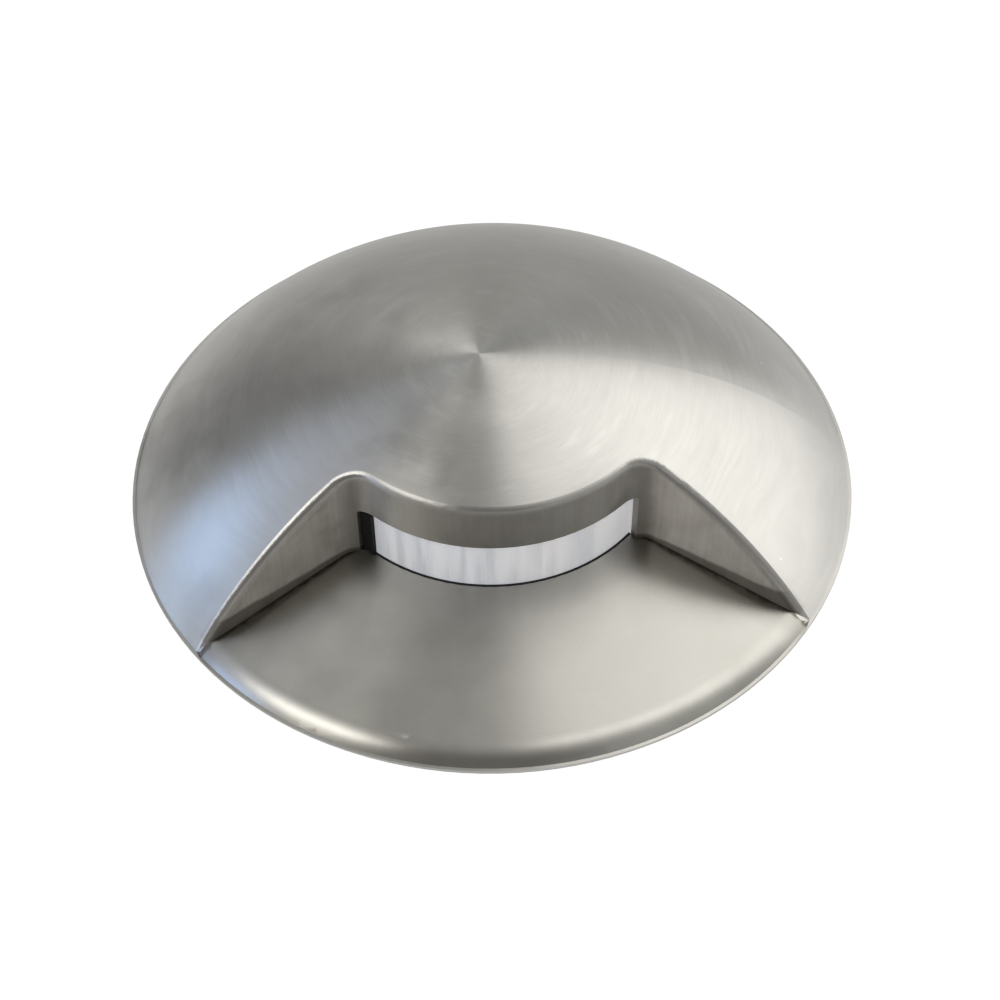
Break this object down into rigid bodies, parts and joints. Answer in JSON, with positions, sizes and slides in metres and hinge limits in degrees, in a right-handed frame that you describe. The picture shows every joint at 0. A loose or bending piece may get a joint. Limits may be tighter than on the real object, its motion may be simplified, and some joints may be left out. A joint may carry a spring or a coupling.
{
  "type": "step light",
  "caption": "Recessed round step light with a domed metal cover, a fan-shaped light pocket, a sealed housing, sprung retaining arms and a cable gland.",
  "frame": {"origin": "centre of the gasket's underside, where the light sits on the deck", "axes": "+Z points out of the deck along the housing's axis, -Y is the way the light leaves the fan pocket, and the retaining arms stand out along +X and -X"},
  "size_m": [0.072, 0.072, 0.0446],
  "materials": {
    "stainless_brushed": "circular brushed",
    "stainless_sheet": "rolled sheet",
    "screw_steel": "bright",
    "spring_steel": "drawn wire",
    "cast_aluminium": "bead blasted",
    "cap_aluminium": "turned",
    "frosted_diffuser": "frosted",
    "white_reflector": "matte",
    "black_silicone": "matte",
    "grey_silicone": "matte",
    "board_white": "solder mask",
    "board_green": "solder mask",
    "led_phosphor": "phosphor in a white case",
    "pad_grey": "soft",
    "wire_red": "insulation",
    "wire_black": "insulation",
    "ferrite": "ferrite",
    "can_aluminium": "bare can",
    "black_epoxy": "moulded",
    "terminal_plastic": "moulded",
    "gland_nylon": "moulded nylon"
  },
  "bodies": {
    "light": {"eyelid_cover": "stainless_brushed", "deck_gasket": "grey_silicone", "diffuser": "frosted_diffuser", "diffuser_seal": "black_silicone", "lens_bead": "black_silicone", "reflector": "white_reflector", "reflector_screw": "screw_steel", "led_board": "board_white", "led_chips": "led_phosphor", "led_board_screws": "screw_steel", "thermal_pad": "pad_grey", "housing": "cast_aluminium", "housing_oring": "black_silicone", "cover_screws": "screw_steel", "wire_grommet": "black_silicone", "led_wire_red": "wire_red", "led_wire_black": "wire_black", "driver_board": "board_green", "driver_board_screws": "screw_steel", "power_inductor": "ferrite", "storage_capacitors": "can_aluminium", "rectifier_bridge": "black_epoxy", "driver_chip": "black_epoxy", "supply_terminal": "terminal_plastic", "terminal_screws": "screw_steel", "back_cap": "cap_aluminium", "cap_oring": "black_silicone", "cap_screws": "screw_steel", "gland_body": "gland_nylon", "gland_washer": "black_silicone", "gland_seal": "black_silicone", "gland_nut": "gland_nylon", "gland_locknut": "gland_nylon", "bracket_screws": "screw_steel", "clip_bracket_right": "stainless_sheet", "clip_pin_right": "screw_steel", "clip_spring_right": "spring_steel", "clip_bracket_left": "stainless_sheet", "clip_pin_left": "screw_steel", "clip_spring_left": "spring_steel"},
    "arm_right": {"clip_arm_right": "stainless_sheet", "clip_pad_right": "black_silicone"},
    "arm_left": {"clip_arm_left": "stainless_sheet", "clip_pad_left": "black_silicone"}
  },
  "joints": [
    {"name": "arm_right_hinge", "type": "hinge", "parent": "light", "child": "arm_right", "pos_m": [0.0218, 0, -0.0066], "axis": [0, 1, 0], "range_deg": [0, 90], "stiffness_Nm_per_rad": 0.012, "springref_deg": -40.11, "deforming": ["clip_spring_right"]},
    {"name": "arm_left_hinge", "type": "hinge", "parent": "light", "child": "arm_left", "pos_m": [-0.0218, 0, -0.0066], "axis": [0, -1, 0], "range_deg": [0, 90], "stiffness_Nm_per_rad": 0.012, "springref_deg": -40.11, "deforming": ["clip_spring_left"]}
  ]
}
